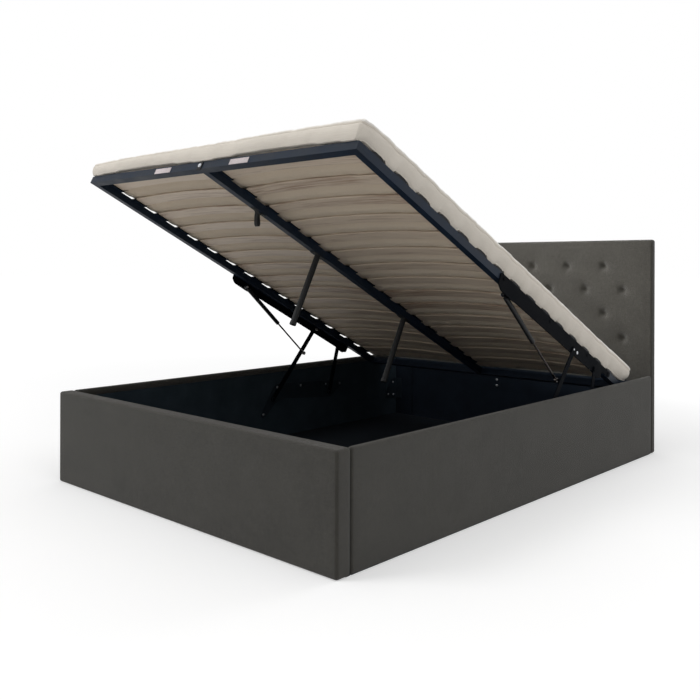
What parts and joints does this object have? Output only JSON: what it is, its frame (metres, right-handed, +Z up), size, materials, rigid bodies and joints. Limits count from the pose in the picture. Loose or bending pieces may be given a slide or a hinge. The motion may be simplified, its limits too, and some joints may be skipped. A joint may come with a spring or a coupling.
{
  "type": "ottoman storage bed",
  "caption": "Ottoman storage bed with a grey upholstered frame, tufted headboard and a slatted lid with mattress held open by gas struts and lift links",
  "frame": {"origin": "centre of the footprint, on the floor", "axes": "+X to the side nearer the camera in the picture, +Y towards the headboard, +Z up"},
  "size_m": [1.6, 2.234, 1.3453],
  "materials": {
    "upholstery": "charcoal woven upholstery",
    "lined_board": "board with black lining cloth",
    "floor_lining": "hardboard with dark facing",
    "board": "plain chipboard",
    "lid_steel": "dark blue-grey powder coat",
    "slat_wood": "sprung birch slat",
    "leg_plastic": "matte black",
    "webbing": "black webbing",
    "ticking": "off-white knitted ticking",
    "gas_cylinder": "black gloss paint",
    "strut_rod": "black nitrided",
    "bracket_steel": "black powder coat"
  },
  "bodies": {
    "base": {"foot_board": "lined_board", "foot_cover": "upholstery", "side_board_right": "lined_board", "side_board_left": "lined_board", "side_cover_right": "upholstery", "side_cover_left": "upholstery", "headboard_board": "board", "headboard_cover": "upholstery", "head_end_panel": "lined_board", "floor_panel": "floor_lining", "corner_bracket_right": "bracket_steel", "corner_bracket_left": "bracket_steel", "base_bracket_right": "bracket_steel", "base_bracket_left": "bracket_steel"},
    "front_links": {"front_link_right": "bracket_steel", "front_link_left": "bracket_steel"},
    "lid": {"lid_frame": "lid_steel", "centre_rail": "lid_steel", "slat_right_01": "slat_wood", "slat_left_01": "slat_wood", "slat_right_02": "slat_wood", "slat_left_02": "slat_wood", "slat_right_03": "slat_wood", "slat_left_03": "slat_wood", "slat_right_04": "slat_wood", "slat_left_04": "slat_wood", "slat_right_05": "slat_wood", "slat_left_05": "slat_wood", "slat_right_06": "slat_wood", "slat_left_06": "slat_wood", "slat_right_07": "slat_wood", "slat_left_07": "slat_wood", "slat_right_08": "slat_wood", "slat_left_08": "slat_wood", "slat_right_09": "slat_wood", "slat_left_09": "slat_wood", "slat_right_10": "slat_wood", "slat_left_10": "slat_wood", "slat_right_11": "slat_wood", "slat_left_11": "slat_wood", "slat_right_12": "slat_wood", "slat_left_12": "slat_wood", "slat_right_13": "slat_wood", "slat_left_13": "slat_wood", "slat_right_14": "slat_wood", "slat_left_14": "slat_wood", "slat_right_15": "slat_wood", "slat_left_15": "slat_wood", "support_leg_foot": "leg_plastic", "support_leg_head": "leg_plastic", "pull_strap": "webbing", "lid_bracket_right": "bracket_steel", "lid_bracket_left": "bracket_steel", "mattress": "ticking"},
    "rear_links": {"rear_link_right": "bracket_steel", "rear_link_left": "bracket_steel"},
    "strut_cylinders": {"strut_cylinder_right": "gas_cylinder", "strut_cylinder_left": "gas_cylinder"},
    "strut_rods": {"strut_rod_right": "strut_rod", "strut_rod_left": "strut_rod"}
  },
  "joints": [
    {"name": "lift_hinge", "type": "hinge", "parent": "base", "child": "front_links", "pos_m": [0, 0.0504, 0.208], "axis": [1, 0, 0], "range_deg": [-36.02, 0]},
    {"name": "lid_pivot", "type": "hinge", "parent": "front_links", "child": "lid", "pos_m": [0, 0.34787, 0.55308], "axis": [1, 0, 0], "range_deg": [0, 62.95]},
    {"name": "rear_link_pivot", "type": "hinge", "parent": "base", "child": "rear_links", "pos_m": [0, 0.4666, 0.1982], "axis": [1, 0, 0], "range_deg": [-50.22, 0]},
    {"name": "strut_top_pivot", "type": "hinge", "parent": "lid", "child": "strut_cylinders", "pos_m": [0, -0.15348, 0.79376], "axis": [1, 0, 0], "range_deg": [0, 11.84]},
    {"name": "strut_stroke", "type": "slide", "parent": "strut_cylinders", "child": "strut_rods", "axis": [0, 0.7422, -0.6702], "range_m": [-0.1337, 0]}
  ],
  "couplings": [
    {"joint": "lid_pivot", "follows": "lift_hinge", "ratio": -1.7463},
    {"joint": "rear_link_pivot", "follows": "lift_hinge", "ratio": 1.393},
    {"joint": "strut_top_pivot", "follows": "lift_hinge", "ratio": -0.32736},
    {"joint": "strut_stroke", "follows": "lift_hinge", "m_per_rad": 0.21242}
  ]
}
